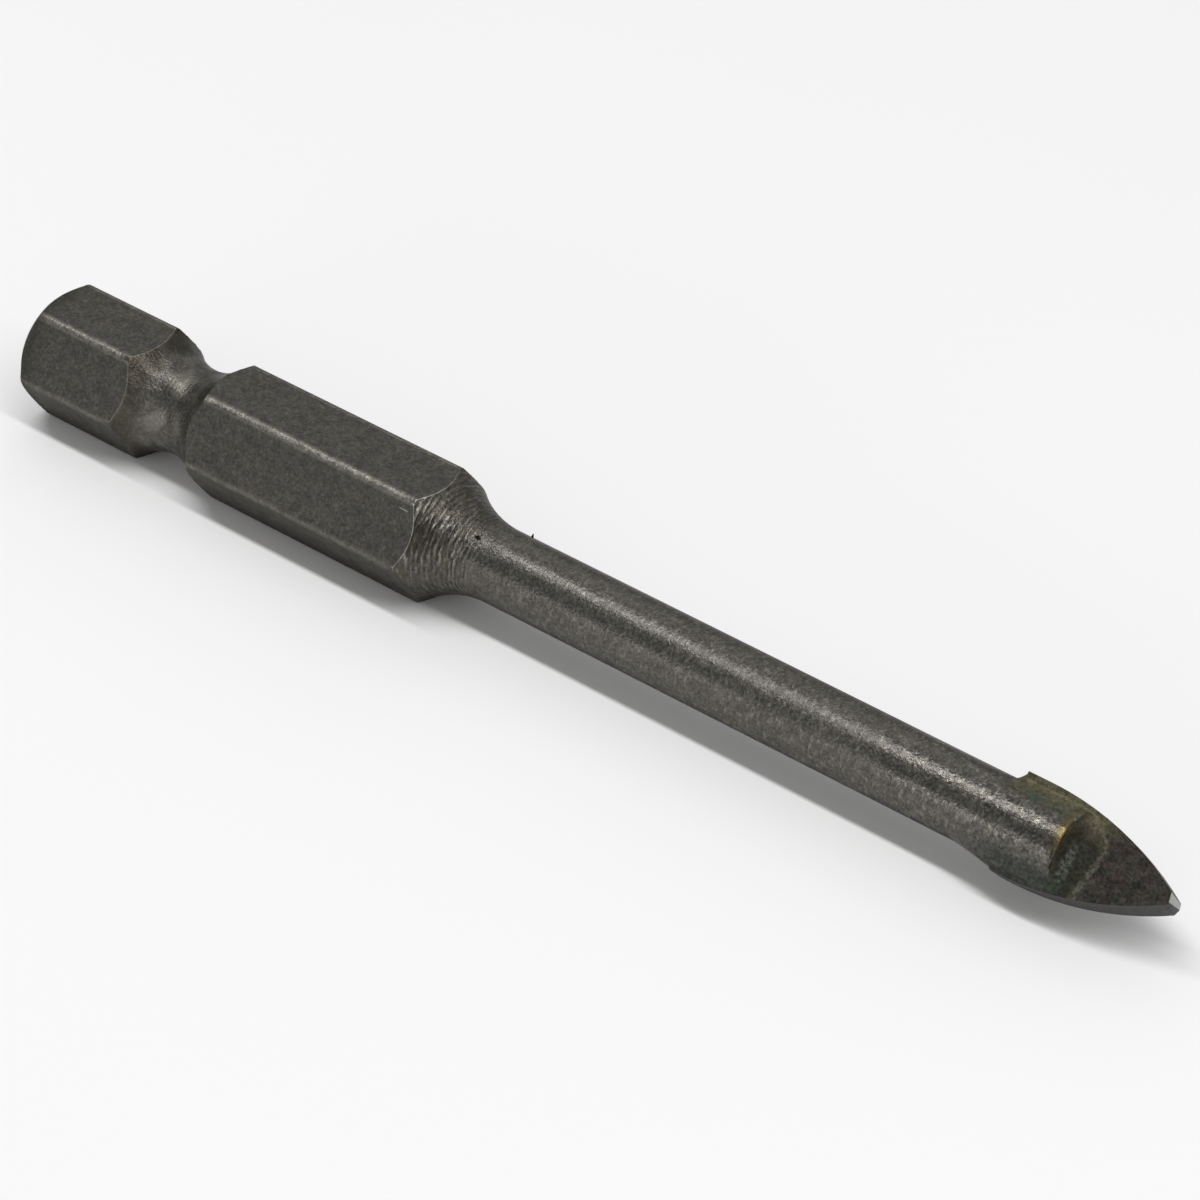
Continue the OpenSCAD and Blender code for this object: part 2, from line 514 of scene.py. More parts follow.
class FluxAndPaintedLight(Effect):
    """The colours that flux and heat left round the joint, with painted shade at the foot of each cheek and
    a painted highlight in the hollow in front of it, over the body colour given to it.
    """

    def __init__(self):
        super().__init__("flux", inputs={"Body": "Color"}, outputs=colour_socket)
        plate = self.in_plate()
        self.x = plate.x
        self.up = self.across(plate)
        self.ahead = self.math("SUBTRACT", plate.x, shank_end)
        self.hue = self.noise(plate.vector, **hue_noise)
        self.mottle = self.noise(plate.vector, **mottle_noise)
        shifted = self.vector(plate.x, self.math("ADD", plate.side, patch_shift), plate.through)
        self.patch = self.noise(shifted, **patch_noise)
        self.corner = self.math("MINIMUM", self.up, flux_corner)
        self.beyond = self.past_front()
        body = self.stop_line(self.front(self.sides(self.given["Body"])))
        shade = self.span(self.mottle, *mottle_shade)
        shade = self.math("MAXIMUM", shade, self.span(self.ahead, *shade_behind))
        body = self.blend(1.0, body, self.vector(shade, shade, shade), kind="MULTIPLY")
        self.join(body, self.put["Colour"])

    def past_front(self):
        """How far a place lies past the slanting, bent front where the flux stopped."""
        slant = self.math("MULTIPLY", self.corner, flux_slant)
        past = self.math("MAXIMUM", self.math("SUBTRACT", self.up, flux_corner), 0.0)
        bend = self.math("MULTIPLY", self.math("MULTIPLY", past, past), flux_bend)
        limit = self.math("SUBTRACT", self.math("ADD", flux_front + flux_waver / 2, slant), bend)
        return self.math("SUBTRACT", self.math("MULTIPLY_ADD", self.hue, flux_waver, self.x), limit)

    def sides(self, body):
        """Olive, brown and a streak of teal on the upper strip, and grey teal on the lower one."""
        olive = self.blend(self.span(self.hue, *olive_hues), olive_pale, olive_deep)
        olive = self.blend(self.span(self.mottle, *olive_browns), olive, olive_brown)
        upper = self.both(
            self.span(self.ahead, *olive_behind), self.span(self.ahead, *olive_ahead),
            self.span(self.up, *olive_across), self.span(self.hue, *olive_cover))
        body = self.blend(upper, body, olive)
        streak = self.both(
            self.span(self.away(self.up, streak_at), *streak_half), self.span(self.ahead, *streak_behind),
            self.span(self.ahead, *streak_ahead), self.span(self.patch, *streak_patches), streak_cover)
        body = self.blend(streak, body, streak_teal)
        lower = self.both(
            self.span(self.ahead, *lower_behind), self.span(self.ahead, *lower_ahead),
            self.span(self.up, *lower_across), self.span(self.patch, *lower_cover))
        return self.blend(lower, body, lower_teal)

    def front(self, body):
        """In front of a cheek: dark flux with painted shade at its foot, a pale green painted highlight in
        the hollow, brown above and teal below.
        """
        front = self.blend(self.span(self.up, *front_across), front_dark, front_brown)
        front = self.blend(self.span(self.patch, *patch_cover), front, patch_brown)
        # Painted shade, over dark flux, at the foot of the cheek
        front = self.blend(self.span(self.ahead, *foot_ahead), front, foot_flux_and_shade)
        # Pale green painted highlight in the hollow
        in_hollow = self.both(
            self.span(self.ahead, *mint_from), self.span(self.ahead, *mint_to),
            self.span(self.up, *mint_above), self.span(self.up, *mint_below),
            self.span(self.mottle, *mint_mottle))
        front = self.blend(in_hollow, front, mint_highlight)
        below = self.both(
            self.span(self.up, *lower_across), self.span(self.ahead, *foot_teal_ahead), foot_teal_cover)
        front = self.blend(below, front, foot_teal)
        within = self.both(
            self.span(self.beyond, *flux_edge), self.span(self.ahead, *flux_behind),
            self.span(self.up, *flux_across))
        return self.blend(within, body, front)

    def stop_line(self, body):
        """The pale line where the flux stopped, wider towards the lower side."""
        half = self.math("MULTIPLY_ADD", self.corner, line_taper, line_half)
        line = self.both(
            self.span(self.math("DIVIDE", self.math("ABSOLUTE", self.beyond), half), 1.0, 0.0),
            self.span(self.up, *line_across), self.span(self.mottle, *line_cover))
        return self.blend(line, body, line_pale)


grain = grain_group()
steel_colour = steel_group()
flux = FluxAndPaintedLight().group


class Surface(Nodes):
    """A material's node tree."""

    def __init__(self, name):
        self.material = bpy.data.materials.new(name)
        self.material.use_nodes = True
        super().__init__(self.material.node_tree)
        self.shader = self.nodes["Principled BSDF"]

    def attribute(self, name):
        node = self.nodes.new("ShaderNodeAttribute")
        node.attribute_name = name
        return node.outputs["Fac"]

    def bump(self, height, depth, normal=None):
        """A relief of that depth, in millimetres."""
        node = self.nodes.new("ShaderNodeBump")
        node.inputs["Distance"].default_value = depth * MM
        self.join(height, node.inputs["Height"])
        if normal is not None:
            self.join(normal, node.inputs["Normal"])
        return node.outputs["Normal"]

    def finish(self, **settings):
        """The material, with what its shader is given: an underscore stands for a space in a name."""
        for name, value in settings.items():
            self.join(value, self.shader.inputs[name.replace("_", " ")])
        return self.material


# The steel's finish. Ranges are millimetres along the bit, out from its axis or up and to a side of it,
# angles round it, or parts of a noise, as above.
neck_from = (25.6, 26.2)
neck_to = (30.2, 28.0)
groove_from = (6.2, 7)
groove_to = (12.9, 12)
plain_from = (29.5, 31.5)
flat_dark = (0.05, 0.047, 0.04, 1)
flat_cover = 0.12
flat_rough = 0.05
# Bright metal for the shank's sparkle and the bar's corners; on the corners it is partly wear and partly a
# painted highlight, stronger on the upper corners
bright_metal_and_highlight = (0.3, 0.285, 0.247, 1)
worn_out = (corner_r - 0.1, corner_r - 0.02)
worn_blotches = (0.3, 0.62, 0.25, 0.55)
upper_highlight_height = (0.4, 1.6, 0.3, 1.0)
# Painted highlight on the rims where the flats meet the neck, on the upper front side only
rim_highlight = (0.5, 0.49, 0.46, 1)
rim_ridge = (0.5, 1.0)
rim_from = (25.8, 26.0)
rim_side = (2.2, -0.8, 0.15, 1.0)
rim_blotches = (0.3, 0.55, 0.45, 1.0)
upper_half = (-0.1, 0.3)
# Painted highlight along the back edge of the groove, on the upper half
brim_highlight = (0.3, 0.275, 0.23, 1)
brim_from = (6.6, 6.8)
brim_to = (9.0, 8.5)
brim_cover = 0.6
# Painted highlight on the crests and painted shade in the troughs of the neck's tool rings
ring_crest_highlight = (0.34, 0.323, 0.278, 1)
ring_trough_shade = (0.034, 0.03, 0.024, 1)
ring_pitch = 0.24
ring_steady = 0.12
ring_waver = 0.5
waver_scale = 0.8
chatter_along = 1.9 / ring_pitch
chatter_round = 4.2
ring_crests = (0.53, 0.68, 0.0, 0.85)
ring_troughs = (0.48, 0.34, 0.0, 0.85)
ring_upper = (-0.13, -0.73, 0.3, 1.0)
ring_lower = (-1.75, -1.15, 0.15, 1.0)
ring_depth = 0.14
groove_ring_share = 0.12
drawn_along = 4.6
drawn_round = 5.0
drawn_growth = (30, 60, 0.5, 1.0)
drawn_crests = (0.5, 0.78, 0.0, 0.6)
drawn_ends = (shank_end - 1.0, shank_end - 0.4, 1.0, 0.35)
drawn_depth = 0.032
round_rough = 0.6
wave_scale = 0.9
wave_depth = 0.22
# Painted highlight: bright blotches in the groove, on the crests of its waves
groove_highlight = (0.19, 0.18, 0.157, 1)
groove_highlight_waves = (0.4, 0.62, 0.0, 0.65)
rust = (0.095, 0.083, 0.058, 1)
rust_noise = {"scale": 2.1, "detail": 3, "rough": 0.65}
rust_cover = (0.46, 0.68, 0.0, 0.65)
# Painted shade in a patch at the back of the neck's front side and in the back part of the groove
hollow_shade = (0.055, 0.049, 0.038, 1)
neck_shade_to = (28.4, 26.8)
neck_shade_upper = (-0.52, -0.83)
neck_shade_lower = (-1.45, -1.1)
neck_shade_blotches = (0.3, 0.7, 0.95, 0.5)
groove_shade_to = (8.5, 7.5)
groove_shade_cover = 0.75
# Painted shade at the back end of the bit
back_end_shade = (0.045, 0.05, 0.036, 1)
back_end_shade_cover = (1.5, 0.5, 0.0, 0.5)
scratch_bright = (0.4, 0.39, 0.36, 1)
scratch_at = (25.56, 2.64)
scratch_fall = 0.03
scratch_half_len = (0.3, 0.24)
scratch_half_width = (0.03, 0.0)
# Near black in the pit and on the burr
pit_black = (0.006, 0.006, 0.005, 1)
gilt_dull = (0.127, 0.098, 0.051, 1)
# Brighter brass on the cheek's rounded edge: a painted highlight
gilt_edge_highlight = (0.198, 0.15, 0.07, 1)
gilt_from = (shank_end - 0.75, shank_end - 0.2)
gilt_across = (-0.7, 0.2)
gilt_specks = (0.2, 0.6, 0.4, 0.85)
gilt_bevel = (shank_end - 0.28, shank_end - 0.12)
dull_upper = (0.8, 1.4)
dull_lower = (-1.1, -1.5)
dull_from = (slot_end - 1.2, slot_end)
steel_tint = (0.6, 0.6, 0.6, 1)
steel_rough = (0.3, 0.7, 0.52, 0.62)
blotch_relief = 0.5
shank_relief = (0.0, 1.0, 1.0, 0.5)
steel_relief_depth = 0.035

# What the lathe took off the roughness, over stretches along the neck and the shank, all added up
polish = ((26, 32, 0.18, 0.25), (34, 50, 0.0, -0.09), (52.5, 55.5, 0.0, 0.13), (56, 61, 0.0, -0.03))


class BlastedSteel(Surface):
    """Dull warm grey steel: mottled flats, tool rings on the neck, and a sparkle along the shank, with
    painted highlights on edges, rings and groove, and painted shade on the rings, in the neck and groove
    and at the back end.
    """

    def __init__(self):
        super().__init__("blasted_steel")
        self.blotch, self.speck = self.effect(grain, blotch_size, speck_size)
        self.where, self.x, self.y, self.z = self.in_frame()
        self.up = self.across(self.in_plate())
        self.lean = self.math("ARCTAN2", self.y, self.z)
        squared = self.math("MULTIPLY_ADD", self.y, self.y, self.math("MULTIPLY", self.z, self.z))
        self.out = self.math("SQRT", squared)
        self.turned = self.attribute("turned")
        self.flat = self.math("SUBTRACT", 1.0, self.turned)
        self.neck = self.both(self.span(self.x, *neck_from), self.span(self.x, *neck_to), self.turned)
        self.groove = self.both(self.span(self.x, *groove_from), self.span(self.x, *groove_to), self.turned)
        self.plain = self.both(self.span(self.x, *plain_from), self.turned)
        self.waves = self.noise(self.where, wave_scale, detail=0)
        self.rings = self.tool_rings()
        self.drawn = self.round_noise(drawn_along, drawn_round)
        self.sparkle = self.both(self.plain, self.span(self.x, *drawn_growth))
        dull = self.math("MAXIMUM", self.span(self.up, *dull_upper), self.span(self.up, *dull_lower))
        self.clean = self.math("SUBTRACT", 1.0, self.both(dull, self.span(self.x, *dull_from)))

    def round_noise(self, along, around):
        """Noise drawn out round the axis, by how fine it is along the bit and round it."""
        where = self.vector(
            self.math("MULTIPLY", self.x, along),
            self.math("MULTIPLY", self.math("DIVIDE", self.y, self.out), around),
            self.math("MULTIPLY", self.math("DIVIDE", self.z, self.out), around))
        return self.noise(where, 1.0, rough=round_rough)

    def tool_rings(self):
        """Rings that the turning tool left: a steady pitch with chatter in it."""
        place = self.math("MULTIPLY_ADD", self.noise(self.where, waver_scale), ring_waver, self.x)
        steady = self.math("SINE", self.math("MULTIPLY", place, 2 * math.pi / ring_pitch))
        chatter = self.round_noise(chatter_along, chatter_round)
        return self.math("MULTIPLY_ADD", steady, ring_steady, chatter)

    def edge_wear_and_highlights(self, body):
        """Bright metal along the bar's corners, partly wear and partly a painted highlight that grows
        towards the top, and painted highlights on the rims beside the neck and on the edge of the groove.
        """
        ridge = self.attribute("ridge")
        above = self.span(self.z, *upper_half)
        # Wear on the corners, with a painted highlight that is stronger towards the top
        wear_and_highlight = self.both(
            self.span(self.out, *worn_out), self.span(self.blotch, *worn_blotches),
            self.span(self.z, *upper_highlight_height))
        body = self.blend(wear_and_highlight, body, bright_metal_and_highlight)
        # Painted highlight on the rims beside the neck, upper front side only
        rim = self.both(
            self.span(ridge, *rim_ridge), self.span(self.x, *rim_from), above, self.span(self.y, *rim_side),
            self.span(self.blotch, *rim_blotches))
        body = self.blend(rim, body, rim_highlight)
        # Painted highlight on the groove's back edge, upper half only
        brim = self.both(
            ridge, self.span(self.x, *brim_from), self.span(self.x, *brim_to), above, brim_cover)
        return self.blend(brim, body, brim_highlight)

    def turned_highlights_and_shade(self, body):
        """The sparkle along the shank, painted highlights and shade on the crests and troughs of the neck's
        rings on its upper front side, and painted highlights in the groove.
        """
        sparkle = self.both(self.sparkle, self.span(self.drawn, *drawn_crests))
        body = self.blend(sparkle, body, bright_metal_and_highlight)
        # Painted highlights and shade on the rings, on the neck's upper front side
        facing = self.both(self.neck, self.span(self.lean, *ring_upper), self.span(self.lean, *ring_lower))
        body = self.blend(self.both(facing, self.span(self.rings, *ring_crests)), body, ring_crest_highlight)
        body = self.blend(self.both(facing, self.span(self.rings, *ring_troughs)), body, ring_trough_shade)
        # Painted highlight blotches in the groove
        return self.blend(self.both(self.groove, self.span(self.waves, *groove_highlight_waves)), body, groove_highlight)

    def rust_scratch_and_shade(self, body):
        """Rust in the neck, painted shade in the neck and the groove and at the back end, one scratch, and
        near black in the pit and on the burr.
        """
        rusty = self.both(self.neck, self.span(self.noise(self.where, **rust_noise), *rust_cover))
        body = self.blend(rusty, body, rust)
        # Painted shade in the neck and the groove
        in_neck = self.both(
            self.neck, self.span(self.x, *neck_shade_to), self.span(self.lean, *neck_shade_upper),
            self.span(self.lean, *neck_shade_lower), self.span(self.blotch, *neck_shade_blotches))
        in_groove = self.both(self.groove, self.span(self.x, *groove_shade_to), groove_shade_cover)
        body = self.blend(self.math("MAXIMUM", in_neck, in_groove), body, hollow_shade)
        # Painted shade towards the back end
        body = self.blend(self.span(self.x, *back_end_shade_cover), body, back_end_shade)
        level = self.math("MULTIPLY_ADD", self.x, scratch_fall, self.z)
        scratch_level = scratch_at[1] + scratch_fall * scratch_at[0]
        scratch = self.both(
            self.span(self.away(self.x, scratch_at[0]), *scratch_half_len),
            self.span(self.away(level, scratch_level), *scratch_half_width),
            self.math("LESS_THAN", self.y, 0.0))
        body = self.blend(scratch, body, scratch_bright)
        # Near black in the pit and on the burr
        return self.blend(self.attribute("pit"), body, pit_black)

    def gilt_and_highlight(self, body):
        """Brass drawn over the upper rim of each cheek, with a painted highlight on its rounded edge."""
        gilt = self.both(
            self.span(self.x, *gilt_from), self.span(self.up, *gilt_across),
            self.span(self.speck, *gilt_specks))
        body = self.blend(gilt, body, gilt_dull)
        # Painted highlight on the rounded edge of the brass
        return self.blend(self.both(gilt, self.span(self.x, *gilt_bevel)), body, gilt_edge_highlight)

    def colour(self):
        body = self.effect(steel_colour, self.blotch, self.speck)[0]
        body = self.blend(self.math("MULTIPLY", self.flat, flat_cover), body, flat_dark)
        body = self.rust_scratch_and_shade(self.turned_highlights_and_shade(self.edge_wear_and_highlights(body)))
        return self.gilt_and_highlight(self.effect(flux, body)[0])

    def roughness(self):
        """Blasted all over, and smoother where it was turned, by how far along."""
        smooth = self.span(self.x, *polish[0])
        for stretch in polish[1:]:
            smooth = self.math("ADD", smooth, self.span(self.x, *stretch))
        smooth = self.both(smooth, self.turned, self.clean)
        rough = self.math("SUBTRACT", self.span(self.speck, *steel_rough), smooth)
        return self.math("MULTIPLY_ADD", self.flat, flat_rough, rough)

    def relief(self):
        """Blasted grain, tool rings, waves in the groove, and fine grain drawn round the shank."""
        grainy = self.math("ADD", self.speck, self.math("MULTIPLY", self.blotch, blotch_relief))
        normal = self.bump(self.both(grainy, self.span(self.plain, *shank_relief)), steel_relief_depth)
        ringed = self.math("MAXIMUM", self.neck, self.math("MULTIPLY", self.groove, groove_ring_share))
        normal = self.bump(self.both(self.rings, ringed), ring_depth, normal)
        normal = self.bump(self.both(self.waves, self.groove), wave_depth, normal)
        drawn = self.both(self.drawn, self.sparkle, self.span(self.x, *drawn_ends), self.clean)
        return self.bump(drawn, drawn_depth, normal)


steel = BlastedSteel()
blasted_steel = steel.finish(
    Base_Color=steel.colour(), Metallic=1, Specular_Tint=steel_tint, Roughness=steel.roughness(),
    Normal=steel.relief())
shank = add_piece("shank_body", shank_bmesh(), blasted_steel)
edges = shank.modifiers.new("edges", "WEIGHTED_NORMAL")
edges.weight = face_weight
edges.keep_sharp = True
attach(shank, "root")
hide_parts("shank")

# Tip: a spear-shaped plate of sintered tungsten carbide, pressed and then ground. Its curved
# lips fall back behind their cutting edges, the point is ground bright, one rear corner is off,
# and the brazing heat has left olive, brown and teal stains round the cheeks that hold it.
tip_edge = 2.425
lip_edge_round = 0.03
lip_edge_segments = 2
carbide_crease = math.radians(12)
flat_join = math.radians(0.5)
ground_at = (69.4136, -0.1, 0)
ground_facing = (1, 0.247, 0)
ground_match = 0.99
broken_at = (tip_rear + 0.6, -tip_edge, 0)
broken_facing = (-0.54, -0.6, 0)


def from_plate(x, across, through):
    """A place on the tip, given along it, across it and through it, in the frame."""
    return Matrix.Rotation(tip_turn, 3, "X") @ Vector((x, across, through))


def grind(bm, place, facing):
    """Takes off what stands out past a plane on the tip."""
    cut = bmesh.ops.bisect_plane(
        bm, geom=bm.verts[:] + bm.edges[:] + bm.faces[:], dist=cut_dist, clear_outer=True,
        plane_co=from_plate(*place), plane_no=from_plate(*facing))
    bmesh.ops.edgeloop_fill(
        bm, edges=[edge for edge in cut["geom_cut"] if isinstance(edge, bmesh.types.BMEdge)])


def plate_bmesh():
    """The plate with its edges just broken, a facet of the point ground afresh and one corner off."""
    bm = bmesh.new()
    bm.from_mesh(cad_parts["carbide_tip"].data)
    bmesh.ops.scale(bm, vec=(1 / MM, 1 / MM, 1 / MM), verts=bm.verts)
    bmesh.ops.remove_doubles(bm, verts=bm.verts, dist=merge_dist)
    bmesh.ops.dissolve_limit(bm, angle_limit=flat_join, verts=bm.verts, edges=bm.edges)
    grind(bm, ground_at, ground_facing)
    grind(bm, broken_at, broken_facing)
    bmesh.ops.recalc_face_normals(bm, faces=bm.faces)
    bmesh.ops.bevel(
        bm, geom=[edge for edge in bm.edges if edge.calc_face_angle(0) > carbide_crease],
        offset=lip_edge_round, affect="EDGES", segments=lip_edge_segments, profile=0.5, material=-1,
        clamp_overlap=True)
    ground = bm.faces.layers.float.new("ground")
    facing = from_plate(*ground_facing).normalized()
    for face in bm.faces:
        face.smooth = True
        face[ground] = 1 if face.normal.dot(facing) > ground_match else 0
    return bm


carbide_dark = (0.021, 0.019, 0.016, 1)
carbide_pale = (0.066, 0.059, 0.053, 1)
carbide_blotch_share = 0.6
carbide_tones = (0.34, 0.68)
carbide_warm = (0.064, 0.042, 0.036, 1)
warm_scale = 2.6
warm_cover = (0.5, 0.66, 0.0, 0.65)
carbide_green = (0.036, 0.042, 0.031, 1)
green_scale = 3.1
green_cover = (0.52, 0.66, 0.0, 0.65)
carbide_metal = 0.85
carbide_rough = (0.3, 0.7, 0.48, 0.6)
carbide_relief_depth = 0.03
flank_grey = (0.068, 0.0645, 0.0635, 1)
flank_through = (tip_half - 0.02, tip_half - 0.06)
flank_along = (shank_end - 2.5, shank_end + 0.5, 0.75, 1.0)
ground_bright = (0.42, 0.42, 0.41, 1)


def carbide_group():
    """Dark grey carbide with a brown and green mottle, from the grain."""
    carbide = Effect("carbide", inputs=grain_sockets, outputs=colour_socket)
    plate = carbide.in_plate()
    tone = carbide.share(carbide.given["Blotch"], carbide_blotch_share, carbide.given["Speck"])
    body = carbide.blend(carbide.span(tone, *carbide_tones), carbide_dark, carbide_pale)
    warm = carbide.noise(plate.vector, warm_scale)
    body = carbide.blend(carbide.span(warm, *warm_cover), body, carbide_warm)
    green = carbide.noise(carbide.vector(plate.x, plate.through, plate.side), green_scale)
    body = carbide.blend(carbide.span(green, *green_cover), body, carbide_green)
    carbide.join(body, carbide.put["Colour"])
    return carbide.group


carbide_colour = carbide_group()


def grainy(surface, blotch, speck):
    """The relief of a sintered or a run surface."""
    relief = surface.math("ADD", speck, surface.math("MULTIPLY", blotch, blotch_relief))
    return surface.bump(relief, carbide_relief_depth)


def stained_carbide():
    """Dark carbide, stained by flux, with grey flanks and a freshly ground point."""
    carbide = Surface("stained_carbide")
    blotch, speck = carbide.effect(grain, blotch_size, speck_size)
    plate = carbide.in_plate()
    body = carbide.effect(flux, carbide.effect(carbide_colour, blotch, speck)[0])[0]
    flank = carbide.both(
        carbide.span(carbide.math("ABSOLUTE", plate.through), *flank_through),
        carbide.span(plate.x, *flank_along))
    body = carbide.blend(flank, body, flank_grey)
    body = carbide.blend(carbide.attribute("ground"), body, ground_bright)
    return carbide.finish(
        Base_Color=body, Metallic=carbide_metal, Roughness=carbide.span(speck, *carbide_rough),
        Normal=grainy(carbide, blotch, speck))


plate = add_piece("carbide_plate", plate_bmesh(), stained_carbide())
plate.modifiers.new("edges", "WEIGHTED_NORMAL").weight = face_weight
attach(plate, "root")
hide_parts("carbide_tip")

# Braze: brass-coloured filler that was melted into the slot round the plate. It set as hollow
# fillets along the cheeks and before each, and as a long ramp behind the corner that is off the
# plate. It runs out to nothing on the tip, and is dulled by flux.
bead_leave = math.radians(46)
bead_tuck = 0.12
bead_reach = 2.1
bead_edge = 0.1
bead_steps = 10
bead_rows = 16
inner_columns = 7
inner_first = 0.12
inner_step = 0.14
cheek_clear = 0.01
shoulder_len = 0.8
shoulder_rise = 2.4
shoulder_flank = [(0.7, tip_edge - 0.1), (0.4, tip_edge - 0.05), (0.0, tip_edge - 0.05)]
shoulder_steps = 8
ramp_len = 2.4
ramp_rise = 1.3
ramp_flank = [(tip_half, bead_reach + bead_edge), (0.7, 2.23), (0.4, 2.25), (0.0, 2.25)]
ramp_lap = 0.45
ramp_lap_steps = 3
apron_len = 1.9
apron_past = 0.05
apron_radius = 2.3
apron_top = 1.25
apron_hollow = 0.95
apron_narrow = 0.24
apron_fade = 0.6
apron_steps = 32
film = 0.05
least_film = 0.001
sunk = 0.03
feather = 0.006
shell = 0.03
lump_scale = 1.7
lump_share = 0.15

# Powers: how the apron's hollow falls, how its rows crowd towards the cheek, and how it joins the bead
apron_fall = 2.6
apron_crowd = 1.3
apron_join = 3


def round_place(angle, radius):
    """Place across and through the tip, at an angle from the middle of a cheek."""
    return Vector((math.sin(angle), math.cos(angle))) * radius


def bead_curve():
    """Hollow face of the bead beside a cheek, across and through: it rises out of the round shank and
    sinks into the tip."""
    start = round_place(bead_leave, shank_r)
    foot = Vector((bead_reach, tip_half))
    corner = Vector((start.x + (start.y - tip_half) / math.tan(bead_leave), tip_half))
    points = [round_place(bead_leave - bead_tuck, shank_r - sunk)]
    for step in range(bead_steps + 1):
        share = step / bead_steps
        points.append(start.lerp(corner, share).lerp(corner.lerp(foot, share), share))
    points.append(foot + Vector((bead_edge, -feather)))
    return points


def lump(x, across, through):
    """Unevenness of metal that has run, from about -1 to 1."""
    return noise.noise(Vector((x, across, through)) * lump_scale)


def add_sheet(bm, rows):
    """Faces between rows of places on the tip."""
    rows = [[bm.verts.new(from_plate(*place)) for place in row] for row in rows]
    for near, far in zip(rows, rows[1:]):
        for corner in range(len(near) - 1):
            bm.faces.new((near[corner], near[corner + 1], far[corner + 1], far[corner]))


def apron_height(ahead, across, bead_top, face):
    """Height of the filler over the tip in front of a cheek, no higher than the bead beside it."""
    inside = apron_radius - math.hypot(ahead - apron_len + apron_radius, across)
    share = max(0, min(1, inside / apron_fade))
    height = apron_top * max(0, 1 - ahead / apron_hollow) ** apron_fall
    height += film * share * share * (3 - 2 * share)
    height = max(height * (1 + lump_share * lump(ahead, across, face)), least_film)
    bead_height = max(bead_top - tip_half, least_film)
    return (bead_height ** -apron_join + height ** -apron_join) ** (-1 / apron_join)


def apron_row(step, columns, cheek_half, face):
    """One row of the apron, which narrows and sinks into the tip at its end."""
    ahead = (apron_len + apron_past) * (step / apron_steps) ** apron_crowd
    row = []
    for across, through in columns:
        bead_top = through
        if abs(across) < cheek_half:
            bead_top = math.sqrt(shank_r ** 2 - across ** 2)
        across *= 1 - apron_narrow * ahead / bead_reach
        over = apron_height(ahead, across, bead_top, face)
        if step == apron_steps or through < tip_half:
            over = -feather
        row.append((shank_end + ahead, across, tip_half + over))
    return row


def cheek_rows(face):
    """The filler on one face of the tip: a bead along both sides of the cheek, and the apron in front."""
    curve = bead_curve()
    shares = [inner_first + inner_step * step for step in range(inner_columns)]
    inner = [(curve[0].x * share, slot_half + sunk) for share in shares]
    half = inner + [(point.x, point.y) for point in curve]
    columns = [(-across, through) for across, through in reversed(half)] + half
    rows = []
    for step in range(bead_rows + 1):
        x = tip_rear + (shank_end - cheek_clear - tip_rear) * step / bead_rows
        rows.append([(x, across, through) for across, through in columns])
    for step in range(apron_steps + 1):
        rows.append(apron_row(step, columns, curve[1].x, face))
    return [[(x, across * face, through * face) for x, across, through in row] for row in rows]


def whole_flank(half):
    """Places through and across a shoulder, from one face of the tip to the other."""
    return half + [(-through, across) for through, across in reversed(half[:-1])]


def shoulder_rows(side, length, rise, flank):
    """The filler behind one shoulder of the tip, from the round shank out to the plate's corner."""
    columns = whole_flank([(point.y, point.x) for point in bead_curve()[:-1]] + flank)
    rows = []
    for step in range(shoulder_steps + 1):
        share = step / shoulder_steps
        row = []
        for through, across in columns:
            base = math.sqrt(shank_r ** 2 - through ** 2) - sunk
            out = base + (across - base) * share ** rise
            row.append((tip_rear - length * (1 - share), out * side, through * side))
        rows.append(row)
    return rows


def lap_rows(side):
    """The end of the long ramp, which laps over the corner that is off the plate."""
    rows = []
    for step in range(ramp_lap_steps + 1):
        x = tip_rear + ramp_lap * step / ramp_lap_steps
        rows.append([(x, across * side, through * side) for through, across in whole_flank(ramp_flank)])
    return rows


def braze_bmesh():
    """The filler as a thin shell with the soft, uneven surface of metal that has run."""
    bm = bmesh.new()
    for face in (1, -1):
        add_sheet(bm, cheek_rows(face))
    add_sheet(bm, shoulder_rows(1, shoulder_len, shoulder_rise, shoulder_flank))
    add_sheet(bm, shoulder_rows(-1, ramp_len, ramp_rise, ramp_flank))
    add_sheet(bm, lap_rows(-1))
    bmesh.ops.remove_doubles(bm, verts=bm.verts, dist=merge_dist)
    for face in bm.faces:
        outward = face.calc_center_median()
        outward.x = 0
        if face.normal.dot(outward) < 0:
            face.normal_flip()
    bmesh.ops.solidify(bm, geom=bm.faces[:], thickness=shell)
    bmesh.ops.recalc_face_normals(bm, faces=bm.faces)
    bm = settled(bm)
    for face in bm.faces:
        face.smooth = True
    return bm


run_out = (shank_end + 0.3, shank_end + 1.1)
behind_through = (tip_half, tip_half - 0.2, 0.0, 0.7)


def run_braze():
    """Dull brass, grey like the steel along the cheeks and stained by flux in front of them, with painted
    shade at each cheek's foot and a painted highlight in the hollow.
    """
    braze = Surface("run_braze")
    blotch, speck = braze.effect(grain, blotch_size, speck_size)
    plate = braze.in_plate()
    grey = braze.effect(steel_colour, blotch, speck)[0]
    dark = braze.effect(carbide_colour, blotch, speck)[0]
    body = braze.effect(flux, braze.blend(braze.span(plate.x, *run_out), grey, dark))[0]
    behind = braze.span(braze.math("ABSOLUTE", plate.through), *behind_through)
    return braze.finish(
        Base_Color=braze.blend(behind, body, grey), Metallic=carbide_metal,
        Roughness=braze.span(speck, *carbide_rough), Normal=grainy(braze, blotch, speck))


filler = add_piece("run_filler", braze_bmesh(), run_braze())
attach(filler, "root")
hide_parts("braze_filler")

# Floor: a wide white sheet of matt paper that the bit lies on. It is only a stage for the bit,
# so it is no piece of the part.
floor_size = 4
sheet_shades = ((0.93, 0.93, 0.93, 1), (0.95, 0.95, 0.95, 1))
sheet_scale = 0.02
sheet_rough = 0.9
sheet_shine = 0.1


